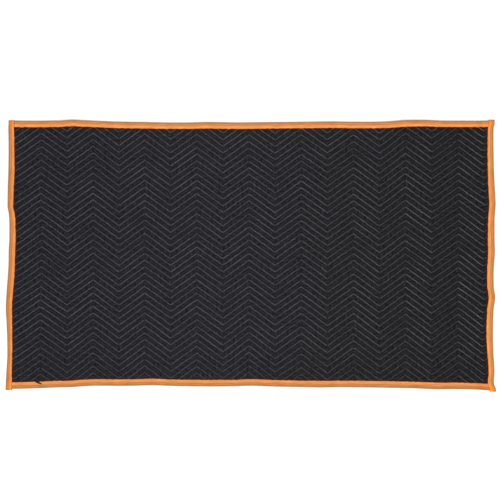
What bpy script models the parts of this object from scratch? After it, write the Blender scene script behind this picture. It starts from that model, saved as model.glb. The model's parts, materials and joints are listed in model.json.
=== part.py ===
# Moving pad: one quilted panel with a folded tape sewn over each of its four edges, lying flat.
# X runs along the pad, Y across it and Z up. The origin is under the middle of the pad, on the surface
# that it lies on. Sizes are in metres, and the edge tables are in millimetres.
#
# Every piece is first laid out on a plain rectangle. rest_point then moves its points to where the
# uneven, slightly rippled pad has them, the same way for all pieces, so neighbours keep their clearance.

import bpy
import bmesh

MM = 0.001

# Pad and quilting
PAD_LENGTH = 1.829
PAD_WIDTH = 1.000
ZIG_RUN = 0.0978          # along the pad, from a peak of the zigzag to the next valley
ZIG_RISE = 0.0694         # across the pad, from a valley up to a peak
CHANNEL_PITCH = 0.02498   # across the pad, from one sewn line to the next
PEAK_X = -0.0075          # the peak nearest to the middle
SEWN_Y = 0.0039           # a sewn line where it crosses that peak
FIRST_COLUMN = -9         # bends of the zigzag, counted from that peak
LAST_COLUMN = 10
CROWN_EDGES = (0.30, 0.70)  # where a channel's flat crown starts and ends, as shares of the pitch

# Half thicknesses, measured from the pad's middle plane
CROWN_HALF = 0.0030
GROOVE_HALF = 0.0014
BOUND_HALF = 0.0012       # the panel, pressed flat inside the tapes

# Tapes
TAPE_REACH = 0.0255       # from the fold to the tape's inner edge, on the plain rectangle
TAPE_THICK = 0.0010
CLEARANCE = 0.0003
SEW_LINE = 0.0130         # the row of stitches, from the fold
SEW_DIP = 0.0002
FOLD_THICK = 0.0013
FOLD_FLAT = 0.0020        # where the tape's flat face turns into the fold, from the fold's tip
FOLD_TIP = 0.0005         # a point on the round of the fold: its inset
FOLD_SHOULDER = 0.66      # and its share of the half thickness
END_STAND = 0.0030        # how far a side tape's end stands past the long tape that it covers
END_RAMP = 0.0065         # the length over which a side tape climbs onto a long tape
END_LAP = 0.0015          # how far its raised end reaches past that tape's inner edge

# Clearances along the edges
PANEL_INSET = 0.0085      # the panel's cut edge, from the fold
TRENCH = 0.0028           # between a tape's inner edge and the first quilted channel
LONG_TAPE_INSET = 0.0034  # a long tape's cut end, from the side tape's fold

# How the edges wander. A row holds the place along the edge, how far the edge stands out of the plain
# rectangle there and the tape's width there, all in millimetres.
ALONG, OUT, TAPE = 0, 1, 2
TOP_EDGE = (
    (-905, 2.6, 26.3), (-830, 2.3, 26.3), (-720, 3.0, 26.3), (-669, 6.0, 26.6), (-640, 4.6, 26.6),
    (-560, 1.3, 26.3), (-500, -1.1, 26.3), (-400, -2.5, 26.3), (-297, -4.5, 26.0), (-229, -4.5, 26.0),
    (-170, -2.6, 26.3), (-60, -4.3, 26.3), (41, -3.4, 26.3), (177, -1.9, 26.3), (312, -0.4, 26.3),
    (370, -1.5, 26.3), (447, -1.9, 26.3), (515, -0.4, 26.6), (585, 4.6, 26.8), (650, 5.3, 26.3),
    (717, 2.9, 26.0), (853, 2.3, 26.0), (905, 2.8, 26.0),
)
BOTTOM_EDGE = (
    (-905, 6.2, 26.0), (-811, 4.5, 26.0), (-744, 1.5, 26.0), (-676, -0.4, 26.0), (-642, -2.6, 26.0),
    (-575, -5.6, 26.0), (-473, -5.3, 25.8), (-372, -7.1, 25.8), (-304, -4.9, 25.8), (-237, -3.4, 26.0),
    (-135, -2.6, 26.0), (-68, -3.4, 26.0), (0, -5.6, 26.0), (68, -3.0, 26.0), (203, 0.0, 26.0),
    (270, 1.1, 26.0), (338, 0.0, 26.0), (473, 1.5, 26.0), (608, 3.8, 26.0), (710, 7.7, 26.4),
    (778, 7.3, 26.0), (845, 9.0, 25.6), (880, 11.0, 25.6), (905, 12.5, 25.6),
)
LEFT_EDGE = (
    (-500, 8.3, 24.5), (-472, 6.2, 24.0), (-430, 4.0, 21.5), (-372, 0.9, 19.5), (-330, 1.2, 20.3),
    (-250, 4.0, 22.6), (-200, 6.8, 25.0), (-135, 3.4, 26.0), (-90, 0.0, 26.3), (-40, -3.2, 26.0),
    (20, -4.4, 25.9), (60, -6.6, 25.4), (120, -6.6, 24.6), (150, -4.6, 23.8), (182, 0.4, 23.0),
    (250, -0.6, 24.5), (310, -2.8, 24.8), (400, -3.8, 23.2), (500, -2.6, 23.0),
)
RIGHT_EDGE = (
    (-500, 3.6, 24.0), (-472, -1.9, 23.9), (-430, 0.4, 23.7), (-360, -3.2, 25.0), (-290, -5.2, 26.3),
    (-205, -2.8, 26.3), (-155, 3.2, 26.3), (-115, -2.0, 26.3), (-68, -2.6, 26.5), (15, 2.2, 27.4),
    (60, 0.9, 27.0), (130, 1.2, 26.5), (190, 4.9, 26.0), (270, 0.6, 25.8), (360, -2.4, 24.5),
    (450, -3.4, 23.3), (500, -1.4, 23.0),
)
SIDE_FADE = 0.30          # how far in from a short edge its wander is felt
LONG_FADE_POWER = 1.5     # a long edge's wander fades across the whole pad

# Ripples: how far a long edge lifts off the surface. A row holds a bend of the zigzag, counted from the
# middle peak, and the lift there in millimetres.
TOP_RIPPLE = ((-8, 0.0), (-7, 3.2), (-6, 1.0), (-5, 0.0), (-2, 0.0), (-1, 1.4), (0, 0.0), (4, 0.0),
              (5, 1.2), (6, 3.4), (7, 0.8), (8, 0.0))
BOTTOM_RIPPLE = ((-8, 0.0), (-6, 0.0), (-5, 2.4), (-4, 0.6), (-3, 0.0), (-1, 0.0), (0, 2.2), (1, 0.0),
                 (5, 0.0), (6, 1.4), (7, 2.6), (8, 0.0))
RIPPLE_FADE = 0.11        # how far in from the tape a ripple is felt
CORNER_FADE = 0.098       # how far in from the tapes the thicker corners lift the pad

COLLECTION_NAME = "moving_pad"
CLOTH_COLOUR = (0.018, 0.017, 0.021)
CLOTH_ROUGHNESS = 0.95
TAPE_COLOUR = (0.74, 0.26, 0.07)
TAPE_ROUGHNESS = 0.80
NEAR = 1e-6               # points closer than this are one point

HALF_LENGTH = PAD_LENGTH / 2
HALF_WIDTH = PAD_WIDTH / 2
SHEET_INSET = TAPE_REACH + TRENCH
SHEET_X = HALF_LENGTH - SHEET_INSET
SHEET_Y = HALF_WIDTH - SHEET_INSET
TAPE_ROOM = BOUND_HALF + CLEARANCE
END_ROOM = TAPE_ROOM + TAPE_THICK + CLEARANCE
CORNER_LIFT = END_ROOM + TAPE_THICK - CROWN_HALF
ENDS = (-1, 1)


def column_x(column):
    """Place along the pad of one bend of the zigzag."""
    return PEAK_X + column * ZIG_RUN


def between(rows, place, column):
    """Value of a table's column at a place, straight between its rows and level past its ends."""
    if place <= rows[0][0]:
        return rows[0][column]
    for low, high in zip(rows, rows[1:]):
        if place <= high[0]:
            share = (place - low[0]) / (high[0] - low[0])
            return low[column] + share * (high[column] - low[column])
    return rows[-1][column]


def fading(distance, reach):
    """1 up to the first quilted channel, then falling straight to 0 over the reach."""
    return min(1.0, max(0.0, 1 - (distance - SHEET_INSET) / reach))


def edge_shift(rows, along, inset, fade):
    """How far a point moves outwards with an edge, given its inset from that edge's fold."""
    out = between(rows, along / MM, OUT) * MM
    spare = between(rows, along / MM, TAPE) * MM - TAPE_REACH
    if inset <= TAPE_REACH:
        return out - spare * max(inset, 0.0) / TAPE_REACH
    return (out - spare) * fade


def lift(x, y):
    """How far the pad's middle plane lies above its usual height."""
    column = (x - PEAK_X) / ZIG_RUN
    top = between(TOP_RIPPLE, column, 1) * MM * fading(HALF_WIDTH - y, RIPPLE_FADE)
    bottom = between(BOTTOM_RIPPLE, column, 1) * MM * fading(HALF_WIDTH + y, RIPPLE_FADE)
    to_side = fading(HALF_LENGTH - abs(x), CORNER_FADE)
    to_long = fading(HALF_WIDTH - abs(y), CORNER_FADE)
    return top + bottom + CORNER_LIFT * to_side * to_long


def rest_point(x, y, z):
    """Where a point of the plain rectangle lies on the resting pad."""
    side_fades = [max(0.0, 1 - (HALF_LENGTH + end * x - TAPE_REACH) / SIDE_FADE) ** 2 for end in ENDS]
    span = PAD_WIDTH - 2 * TAPE_REACH
    long_fades = [max(0.0, 1 - (HALF_WIDTH + end * y - TAPE_REACH) / span) ** LONG_FADE_POWER for end in ENDS]
    right = edge_shift(RIGHT_EDGE, y, HALF_LENGTH - x, side_fades[0])
    left = edge_shift(LEFT_EDGE, y, HALF_LENGTH + x, side_fades[1])
    top = edge_shift(TOP_EDGE, x, HALF_WIDTH - y, long_fades[0])
    bottom = edge_shift(BOTTOM_EDGE, x, HALF_WIDTH + y, long_fades[1])
    return x + right - left, y + top - bottom, CROWN_HALF + lift(x, y) + z


def lay_down(bm):
    """Move a laid out mesh to where it rests."""
    for vert in bm.verts:
        vert.co = rest_point(*vert.co)
    bmesh.ops.recalc_face_normals(bm, faces=bm.faces)


def zigzag(x):
    """How far a sewn line has dropped below its peaks at x."""
    away = abs(((x - PEAK_X) / ZIG_RUN + 1) % 2 - 1)
    return -ZIG_RISE * away


def channel_rows():
    """Each row of the quilting as its place across the pad at a peak and its half thickness."""
    first = int((-HALF_WIDTH - SEWN_Y) / CHANNEL_PITCH) - 1
    last = int((HALF_WIDTH + ZIG_RISE - SEWN_Y) / CHANNEL_PITCH) + 1
    rows = []
    for channel in range(first, last + 1):
        start = SEWN_Y + channel * CHANNEL_PITCH
        rows.append((start, GROOVE_HALF))
        for share in CROWN_EDGES:
            rows.append((start + share * CHANNEL_PITCH, CROWN_HALF))
    return rows


def grid(bm, across, down):
    """A grid primitive, and its points by column and row."""
    bmesh.ops.create_grid(bm, x_segments=across - 1, y_segments=down - 1, size=1.0)
    places = {}
    for vert in bm.verts:
        column = round((vert.co.x + 1) / 2 * (across - 1))
        row = round((vert.co.y + 1) / 2 * (down - 1))
        places[column, row] = vert
    return places


def quilted_sheet(bm):
    """The upper quilted face, cut to its rectangle just inside the tapes."""
    columns = [column_x(column) for column in range(FIRST_COLUMN, LAST_COLUMN + 1)]
    rows = channel_rows()
    for (column, row), vert in grid(bm, len(columns), len(rows)).items():
        across, half = rows[row]
        vert.co = (columns[column], across + zigzag(columns[column]), half)
    for end in ENDS:
        for axis, limit in ((0, SHEET_X), (1, SHEET_Y)):
            place = [0.0, 0.0, 0.0]
            place[axis] = end * limit
            normal = [0.0, 0.0, 0.0]
            normal[axis] = end
            everything = bm.verts[:] + bm.edges[:] + bm.faces[:]
            bmesh.ops.bisect_plane(bm, geom=everything, dist=NEAR, plane_co=place, plane_no=normal,
                                   clear_outer=True)


def border_stations(verts):
    """Border points that carry the frame: corners, bends of the zigzag and rows of the side tables."""
    kept = set()
    columns = [column_x(column) for column in range(FIRST_COLUMN, LAST_COLUMN + 1)]
    for vert in verts:
        if abs(vert.co.y) > SHEET_Y - NEAR:
            at_corner = abs(vert.co.x) > SHEET_X - NEAR
            if at_corner or min(abs(vert.co.x - x) for x in columns) < NEAR:
                kept.add(vert)
    for end, table in zip(ENDS, (LEFT_EDGE, RIGHT_EDGE)):
        side = [vert for vert in verts if end * vert.co.x > SHEET_X - NEAR]
        for row in table:
            kept.add(min(side, key=lambda vert: abs(vert.co.y - row[ALONG] * MM)))
    return kept


def extrude_border(bm, loop, moved):
    """Extrude the open border once. loop maps its points to their stations, and so does the result."""
    border = [edge for edge in bm.edges if edge.is_boundary]
    made = bmesh.ops.extrude_edge_only(bm, edges=border)["geom"]
    fresh = {item for item in made if isinstance(item, bmesh.types.BMVert)}
    new_loop = {}
    risers = []
    for vert in fresh:
        riser = next(edge for edge in vert.link_edges if edge.other_vert(vert) not in fresh)
        station = loop[riser.other_vert(vert)]
        new_loop[vert] = station
        if not station:
            risers.append(riser)
    for vert in fresh:
        vert.co = moved(*vert.co)
    return new_loop, risers


def to_bound(x, y, z):
    """Straight down from the quilting to the part pressed inside the tapes."""
    return x, y, BOUND_HALF


def to_cut_edge(x, y, z):
    """Outwards to the panel's cut edge, corners to corners."""
    if abs(x) > SHEET_X - NEAR:
        x *= (HALF_LENGTH - PANEL_INSET) / SHEET_X
    if abs(y) > SHEET_Y - NEAR:
        y *= (HALF_WIDTH - PANEL_INSET) / SHEET_Y
    return x, y, z


def to_middle(x, y, z):
    """Down to the middle plane."""
    return x, y, 0.0


def build_panel():
    """The quilted panel: an upper half with its flat bound edge, mirrored below."""
    bm = bmesh.new()
    quilted_sheet(bm)
    border = {vert for edge in bm.edges if edge.is_boundary for vert in edge.verts}
    stations = border_stations(border)
    loop = {vert: vert in stations for vert in border}
    spare = []
    for moved in (to_bound, to_cut_edge, to_middle):
        loop, risers = extrude_border(bm, loop, moved)
        spare.extend(risers)
    bmesh.ops.dissolve_edges(bm, edges=spare, use_verts=True)
    everything = bm.verts[:] + bm.edges[:] + bm.faces[:]
    bmesh.ops.mirror(bm, geom=everything, axis="Z", merge_dist=NEAR)
    lay_down(bm)
    return bm


def tape_section(room):
    """Outline of a folded tape as (inset from the fold, height), around a space of twice the room."""
    skin = room + TAPE_THICK
    upper = [(TAPE_REACH, skin), (SEW_LINE, skin - SEW_DIP), (FOLD_FLAT, skin),
             (FOLD_TIP, FOLD_SHOULDER * skin)]
    lower = [(inset, -height) for inset, height in reversed(upper)]
    inner = [(TAPE_REACH, -room), (2 * FOLD_THICK, -room), (FOLD_THICK, 0.0), (2 * FOLD_THICK, room),
             (TAPE_REACH, room)]
    return upper + [(0.0, 0.0)] + lower + inner


def build_tape(stations, room_at, place):
    """A folded tape through its stations. place turns (along, inset, height) into a laid out point."""
    bm = bmesh.new()
    across = len(tape_section(TAPE_ROOM)) + 1
    for (point, station), vert in grid(bm, across, len(stations)).items():
        along = stations[station]
        section = tape_section(room_at(along))
        inset, height = section[point % len(section)]
        vert.co = place(along, inset, height)
    bmesh.ops.remove_doubles(bm, verts=bm.verts, dist=NEAR)
    bmesh.ops.holes_fill(bm, edges=[edge for edge in bm.edges if edge.is_boundary], sides=0)
    lay_down(bm)
    return bm


def station_list(limit, places):
    """The places inside a tape's length, in order and without repeats, with both ends."""
    inside = {round(place, 5) for place in places if abs(place) < limit - MM}
    return sorted(inside | {-limit, limit})


def long_tape_stations(rows):
    """Ends, bends of the zigzag, rows of the edge's table and the places where the lift bends."""
    places = [row[ALONG] * MM for row in rows]
    places += [column_x(column) for column in range(FIRST_COLUMN, LAST_COLUMN + 1)]
    for end in ENDS:
        places += [end * SHEET_X, end * (SHEET_X - CORNER_FADE), end * (HALF_LENGTH - TAPE_REACH)]
    return station_list(HALF_LENGTH - LONG_TAPE_INSET, places)


def side_tape_stations(rows):
    """Ends, rows of the edge's table and the places where the tape climbs onto the long tapes."""
    places = [row[ALONG] * MM for row in rows if abs(row[ALONG] * MM) < HALF_WIDTH - MM]
    raised = HALF_WIDTH - TAPE_REACH - END_LAP
    for end in ENDS:
        places += [end * raised, end * (raised - END_RAMP), end * SHEET_Y, end * (SHEET_Y - CORNER_FADE)]
        places.append(end * HALF_WIDTH)
    return station_list(HALF_WIDTH + END_STAND, places)


def long_tape_room(along):
    """A long tape holds only the panel."""
    return TAPE_ROOM


def side_tape_room(along):
    """A side tape's ends also hold the long tapes."""
    raised = HALF_WIDTH - TAPE_REACH - END_LAP
    share = min(1.0, max(0.0, (abs(along) - raised + END_RAMP) / END_RAMP))
    return TAPE_ROOM + share * (END_ROOM - TAPE_ROOM)


def make_material(name, colour, roughness):
    """A plain cloth finish."""
    material = bpy.data.materials.new(name)
    material.use_nodes = True
    shader = material.node_tree.nodes["Principled BSDF"]
    shader.inputs["Base Color"].default_value = (*colour, 1.0)
    shader.inputs["Roughness"].default_value = roughness
    shader.inputs["Metallic"].default_value = 0.0
    return material


def make_object(name, bm, material, collection):
    """One named piece with its own material."""
    mesh = bpy.data.meshes.new(name)
    bm.to_mesh(mesh)
    bm.free()
    mesh.materials.append(material)
    piece = bpy.data.objects.new(name, mesh)
    collection.objects.link(piece)
    return piece


def centre_over_origin(pieces):
    """Slide all pieces together so that the middle of their box is over the origin."""
    for axis in (0, 1):
        places = [vert.co[axis] for piece in pieces for vert in piece.data.vertices]
        middle = (min(places) + max(places)) / 2
        for piece in pieces:
            for vert in piece.data.vertices:
                vert.co[axis] -= middle


def main():
    for old in list(bpy.data.objects):
        bpy.data.objects.remove(old, do_unlink=True)
    collection = bpy.data.collections.new(COLLECTION_NAME)
    bpy.context.scene.collection.children.link(collection)

    cloth = make_material("quilt_cloth", CLOTH_COLOUR, CLOTH_ROUGHNESS)
    pieces = [make_object("quilted_panel", build_panel(), cloth, collection)]

    def top_place(along, inset, height):
        return along, HALF_WIDTH - inset, height

    def bottom_place(along, inset, height):
        return along, inset - HALF_WIDTH, height

    def left_place(along, inset, height):
        return inset - HALF_LENGTH, along, height

    def right_place(along, inset, height):
        return HALF_LENGTH - inset, along, height

    tapes = (
        ("binding_top", long_tape_stations(TOP_EDGE), long_tape_room, top_place),
        ("binding_bottom", long_tape_stations(BOTTOM_EDGE), long_tape_room, bottom_place),
        ("binding_left", side_tape_stations(LEFT_EDGE), side_tape_room, left_place),
        ("binding_right", side_tape_stations(RIGHT_EDGE), side_tape_room, right_place),
    )
    for name, stations, room_at, place in tapes:
        tape = make_material(name + "_tape", TAPE_COLOUR, TAPE_ROUGHNESS)
        pieces.append(make_object(name, build_tape(stations, room_at, place), tape, collection))

    centre_over_origin(pieces)


main()
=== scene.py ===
import json
import math

import bpy
import numpy as np
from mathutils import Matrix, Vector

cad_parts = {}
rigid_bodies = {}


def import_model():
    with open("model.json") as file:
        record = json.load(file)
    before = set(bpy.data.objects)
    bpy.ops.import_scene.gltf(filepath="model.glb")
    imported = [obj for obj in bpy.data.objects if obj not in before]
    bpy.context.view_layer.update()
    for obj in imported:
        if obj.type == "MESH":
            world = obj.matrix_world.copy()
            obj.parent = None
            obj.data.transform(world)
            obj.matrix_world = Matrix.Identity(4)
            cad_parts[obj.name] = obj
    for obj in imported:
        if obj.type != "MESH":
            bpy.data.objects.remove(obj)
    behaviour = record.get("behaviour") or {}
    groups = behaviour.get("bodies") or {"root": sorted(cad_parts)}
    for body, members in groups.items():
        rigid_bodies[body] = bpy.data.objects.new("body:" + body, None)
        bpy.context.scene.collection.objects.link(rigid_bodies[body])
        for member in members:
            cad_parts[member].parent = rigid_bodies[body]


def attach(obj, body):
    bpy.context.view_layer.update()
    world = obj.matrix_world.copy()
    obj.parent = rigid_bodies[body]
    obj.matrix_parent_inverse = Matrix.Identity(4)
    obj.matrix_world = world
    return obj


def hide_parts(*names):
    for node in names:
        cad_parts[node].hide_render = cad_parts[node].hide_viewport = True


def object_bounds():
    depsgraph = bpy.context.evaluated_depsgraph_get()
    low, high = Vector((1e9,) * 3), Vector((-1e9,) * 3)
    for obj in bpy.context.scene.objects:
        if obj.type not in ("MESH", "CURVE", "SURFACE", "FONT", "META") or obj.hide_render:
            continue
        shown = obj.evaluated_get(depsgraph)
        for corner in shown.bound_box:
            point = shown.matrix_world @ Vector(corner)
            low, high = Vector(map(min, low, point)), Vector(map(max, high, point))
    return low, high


# Looks of a moving pad: a black quilted panel with an orange tape folded over each edge, lying flat.
# Every piece is laid out on a plain rectangle, and restPoints then puts it where the uneven pad lies.

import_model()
cadLow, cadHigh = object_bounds()
mm = 0.001
dice = np.random.default_rng(41)

# sizes that all pieces share, in metres
pad = {
    "length": 1.829,
    "width": 1.000,
    "crownHalf": 0.0030,      # half thicknesses, from the pad's middle plane
    "grooveHalf": 0.0014,
    "boundHalf": 0.0012,      # the panel where the tapes press it flat
    "tapeReach": 0.0255,      # from the fold to a tape's inner edge
    "tapeThick": 0.0010,
    "clearance": 0.0003,
    "cutInset": 0.0085,       # the panel's cut edge, from the fold
    "sideFade": 0.30,         # how far in from a short edge its wander is felt
    "longFadePower": 1.5,     # a long edge's wander fades over the whole pad
    "rippleFade": 0.11,
    "cornerFade": 0.098,
    "trench": 0.0028,         # flat cloth beside a tape, before a ripple fades
    "looseFrom": 0.06,        # how far in from a tape the quilting is fully loose
    # the loose quilting's wander: how far in mm, the length of its waves and a seed
    "wanderAcross": ((0.7, 0.24, 5), (0.25, 0.06, 6)),
    "wanderAlong": (0.5, 0.2, 7),
}
quilting = {
    "zigRun": 0.0978,         # along the pad, from a peak of the zigzag to the next valley
    "zigRise": 0.0694,
    "pitch": 0.02498,         # across the pad, from one sewn line to the next
    "peakX": -0.0075,         # the peak nearest to the middle
    "sewnY": 0.0039,          # a sewn line where it crosses that peak
}

cameraLook = {
    "lens": 100.0,
    "sensor": 36.0,
    "photoSize": 500,               # pixels a side
    "pixel": 0.003756,              # metres of pad for each pixel
    "padMiddle": (251.0, 254.2),    # pixel at which the plain rectangle's middle lies
    "height": 0.005,
}

# how the edges wander, in mm: the place along the edge, how far it stands out, the tape's width
topEdge = (
    (-905, 2.6, 26.3), (-830, 2.3, 26.3), (-720, 3.0, 26.3), (-669, 6.0, 26.6), (-640, 4.6, 26.6),
    (-560, 1.3, 26.3), (-500, -1.1, 26.3), (-400, -2.5, 26.3), (-297, -4.5, 26.0), (-229, -4.5, 26.0),
    (-170, -2.6, 26.3), (-60, -4.3, 26.3), (41, -3.4, 26.3), (177, -1.9, 26.3), (312, -0.4, 26.3),
    (370, -1.5, 26.3), (447, -1.9, 26.3), (515, -0.4, 26.6), (585, 4.6, 26.8), (650, 5.3, 26.3),
    (717, 2.9, 26.0), (853, 2.3, 26.0), (905, 2.8, 26.0),
)
bottomEdge = (
    (-905, 6.2, 26.0), (-811, 4.5, 26.0), (-744, 1.5, 26.0), (-676, -0.4, 26.0), (-642, -2.6, 26.0),
    (-575, -5.6, 26.0), (-473, -5.3, 25.8), (-372, -7.1, 25.8), (-304, -4.9, 25.8), (-237, -3.4, 26.0),
    (-135, -2.6, 26.0), (-68, -3.4, 26.0), (0, -5.6, 26.0), (68, -3.0, 26.0), (203, 0.0, 26.0),
    (270, 1.1, 26.0), (338, 0.0, 26.0), (473, 1.5, 26.0), (608, 3.8, 26.0), (710, 7.7, 26.4),
    (778, 7.3, 26.0), (845, 9.0, 25.6), (880, 11.0, 25.6), (905, 12.5, 25.6),
)
leftEdge = (
    (-500, 8.3, 24.5), (-472, 6.2, 24.0), (-430, 4.0, 21.5), (-372, 0.9, 19.5), (-330, 1.2, 20.3),
    (-250, 4.0, 22.6), (-200, 6.8, 25.0), (-135, 3.4, 26.0), (-90, 0.0, 26.3), (-40, -3.2, 26.0),
    (20, -4.4, 25.9), (60, -6.6, 25.4), (120, -6.6, 24.6), (150, -4.6, 23.8), (182, 0.4, 23.0),
    (250, -0.6, 24.5), (310, -2.8, 24.8), (400, -3.8, 23.2), (500, -2.6, 23.0),
)
rightEdge = (
    (-500, 3.6, 24.0), (-472, -1.9, 23.9), (-430, 0.4, 23.7), (-360, -3.2, 25.0), (-290, -5.2, 26.3),
    (-205, -2.8, 26.3), (-155, 3.2, 26.3), (-115, -2.0, 26.3), (-68, -2.6, 26.5), (15, 2.2, 27.4),
    (60, 0.9, 27.0), (130, 1.2, 26.5), (190, 4.9, 26.0), (270, 0.6, 25.8), (360, -2.4, 24.5),
    (450, -3.4, 23.3), (500, -1.4, 23.0),
)

# ripples along the long edges: a bend of the zigzag, counted from the middle peak, and its lift in mm
topRipple = ((-8, 0.0), (-7, 3.2), (-6, 1.0), (-5, 0.0), (-2, 0.0), (-1, 1.4), (0, 0.0), (4, 0.0),
             (5, 1.2), (6, 3.4), (7, 0.8), (8, 0.0))
bottomRipple = ((-8, 0.0), (-6, 0.0), (-5, 2.4), (-4, 0.6), (-3, 0.0), (-1, 0.0), (0, 2.2), (1, 0.0),
                (5, 0.0), (6, 1.4), (7, 2.6), (8, 0.0))

# how the sewn lines drift, in mm: the place along the pad, their drift along it, and their drift across
# it at four places from the bottom edge to the top one
sewnDrift = (
    (-905, -4.0, -1.0, 2.0, 1.2, -0.8), (-850, 0.8, -1.3, 1.6, 0.8, -0.9),
    (-710, 1.9, -3.4, -1.2, -1.7, -1.3), (-610, 1.6, -5.2, -3.4, -2.9, -0.6),
    (-510, 0.6, -6.2, -4.1, -2.9, 0.6), (-410, -0.3, -6.1, -3.8, -2.5, 1.6),
    (-310, -0.7, -5.3, -2.6, -1.6, 2.0), (-210, -0.5, -4.4, -1.6, -1.0, 1.7),
    (-110, -0.2, -4.0, -1.4, -1.2, 0.7), (0, 0.0, -4.4, -1.8, -1.5, -0.7),
    (110, 0.3, -5.0, -1.9, -1.4, -2.0), (210, 0.8, -5.4, -1.8, -1.2, -2.5),
    (310, 1.2, -5.8, -2.1, -1.3, -2.5), (410, 1.3, -6.0, -2.8, -1.6, -2.2),
    (510, 0.8, -5.9, -3.3, -2.3, -2.5), (610, 0.8, -5.5, -3.3, -2.9, -2.9),
    (710, 2.3, -4.7, -2.2, -2.7, -1.8), (777, 4.2, -4.2, -1.4, -2.6, -1.0),
    (850, 3.6, -3.6, -0.5, -2.4, -0.1), (863, 3.4, -3.1, 0.1, -1.8, 0.5),
    (876, 3.2, -1.2, 1.9, 0.0, 2.3), (889, 2.9, -2.9, 0.2, -1.7, 0.6), (905, 2.6, -3.4, -0.2, -2.2, 0.2),
)
driftPlaces = (-0.42, -0.25, 0.0, 0.42)

halfLength = pad["length"] / 2
halfWidth = pad["width"] / 2
tapeReach = pad["tapeReach"]
tapeRoom = pad["boundHalf"] + pad["clearance"]
endRoom = tapeRoom + pad["tapeThick"] + pad["clearance"]
cornerLift = endRoom + pad["tapeThick"] - pad["crownHalf"]
# the CAD model was slid to stand over the origin, so the plain rectangle's middle lies here
slideX = cadHigh.x - halfLength - max(row[1] for row in rightEdge) * mm
slideY = cadHigh.y - halfWidth - max(row[1] for row in topEdge) * mm


def smoothStep(share):
    share = np.clip(share, 0.0, 1.0)
    return share * share * (3 - 2 * share)


def lookUp(rows, column, where):
    # a smooth curve through the table's rows that never swings past them
    places = np.array([row[0] for row in rows], float)
    values = np.array([row[column] for row in rows], float)
    steps = np.diff(values) / np.diff(places)
    slopes = np.zeros(len(values))
    onward = np.nonzero(steps[1:] * steps[:-1] > 0)[0]
    slopes[onward + 1] = 2 * steps[onward] * steps[onward + 1] / (steps[onward] + steps[onward + 1])
    where = np.clip(where, places[0], places[-1])
    low = np.clip(np.searchsorted(places, where) - 1, 0, len(places) - 2)
    gap = places[low + 1] - places[low]
    share = (where - places[low]) / gap
    rest = 1 - share
    return (values[low] * (1 + 2 * share) * rest**2 + slopes[low] * gap * share * rest**2
            + values[low + 1] * (3 - 2 * share) * share**2 - slopes[low + 1] * gap * share**2 * rest)


def edgeShift(rows, along, inset, fade):
    out = lookUp(rows, 1, along / mm) * mm
    spare = lookUp(rows, 2, along / mm) * mm - tapeReach
    underTape = out - spare * np.maximum(inset, 0.0) / tapeReach
    return np.where(inset <= tapeReach, underTape, (out - spare) * fade)


def waves(first, second, length, seed):
    # smooth uneven waves from about -1 to 1, without any grid to them
    own = np.random.default_rng(seed)
    total = 0.0
    for _ in range(7):
        angle = own.uniform(0, math.tau)
        size = own.uniform(0.7, 1.5) * math.tau / length
        onward = first * math.cos(angle) + second * math.sin(angle)
        total = total + np.sin(size * onward + own.uniform(0, math.tau))
    return total / 3.2


def insetOf(x, y):
    # how far in from the nearest fold
    return np.minimum(halfLength - np.abs(x), halfWidth - np.abs(y))


def restPoints(points):
    x, y, z = points.T
    loose = smoothStep((insetOf(x, y) - tapeReach) / pad["looseFrom"])
    y = y + loose * sum(size * mm * waves(x, y, length, seed) for size, length, seed in pad["wanderAcross"])
    size, length, seed = pad["wanderAlong"]
    x = x + loose * size * mm * waves(x, y, length, seed)
    span = pad["width"] - 2 * tapeReach
    sideFades = []
    longFades = []
    for end in (-1, 1):
        share = np.clip(1 - (halfLength + end * x - tapeReach) / pad["sideFade"], 0, None)
        sideFades.append(share**2)
        share = np.clip(1 - (halfWidth + end * y - tapeReach) / span, 0, None)
        longFades.append(share ** pad["longFadePower"])
    right = edgeShift(rightEdge, y, halfLength - x, sideFades[0])
    left = edgeShift(leftEdge, y, halfLength + x, sideFades[1])
    top = edgeShift(topEdge, x, halfWidth - y, longFades[0])
    bottom = edgeShift(bottomEdge, x, halfWidth + y, longFades[1])
    rises = []
    for distance, reach in ((halfWidth - y, "rippleFade"), (halfWidth + y, "rippleFade"),
                            (halfLength - np.abs(x), "cornerFade"), (halfWidth - np.abs(y), "cornerFade")):
        rises.append(1 - smoothStep((distance - tapeReach - pad["trench"]) / pad[reach]))
    column = (x - quilting["peakX"]) / quilting["zigRun"]
    lift = lookUp(topRipple, 1, column) * mm * rises[0] + lookUp(bottomRipple, 1, column) * mm * rises[1]
    lift = lift + cornerLift * rises[2] * rises[3]
    return np.stack([x + right - left + slideX, y + top - bottom + slideY, pad["crownHalf"] + lift + z], 1)


def zigzag(x):
    # how far a sewn line has dropped below its peaks
    away = np.abs(((x - quilting["peakX"]) / quilting["zigRun"] + 1) % 2 - 1)
    return -quilting["zigRise"] * away


def sewnPoint(x, level):
    # where a sewn line really runs, or a row between two of them
    y = level + zigzag(x)
    across = lookUp(sewnDrift, 2, x / mm)
    for column, (low, high) in enumerate(zip(driftPlaces, driftPlaces[1:])):
        change = lookUp(sewnDrift, column + 3, x / mm) - lookUp(sewnDrift, column + 2, x / mm)
        across = across + change * np.clip((y - low) / (high - low), 0, 1)
    return x + lookUp(sewnDrift, 1, x / mm) * mm, y + across * mm


def fromMiddle(pixelX, pixelY):
    # how far a pixel of the camera's view lies from the plain rectangle's middle
    middleX, middleY = cameraLook["padMiddle"]
    return (pixelX - middleX) * cameraLook["pixel"], (middleY - pixelY) * cameraLook["pixel"]


def plainPoint(pixelX, pixelY):
    # the place on the plain rectangle that shows at a pixel
    x, y = fromMiddle(pixelX, pixelY)
    plain = np.array([[x, y, 0.0]])
    for _ in range(6):
        laid = restPoints(plain)
        plain = plain + [[x + slideX - laid[0, 0], y + slideY - laid[0, 1], 0.0]]
    return plain[0, :2]


# small helpers around Blender's own tools

def deselectAll():
    bpy.ops.object.select_all(action="DESELECT")


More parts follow.
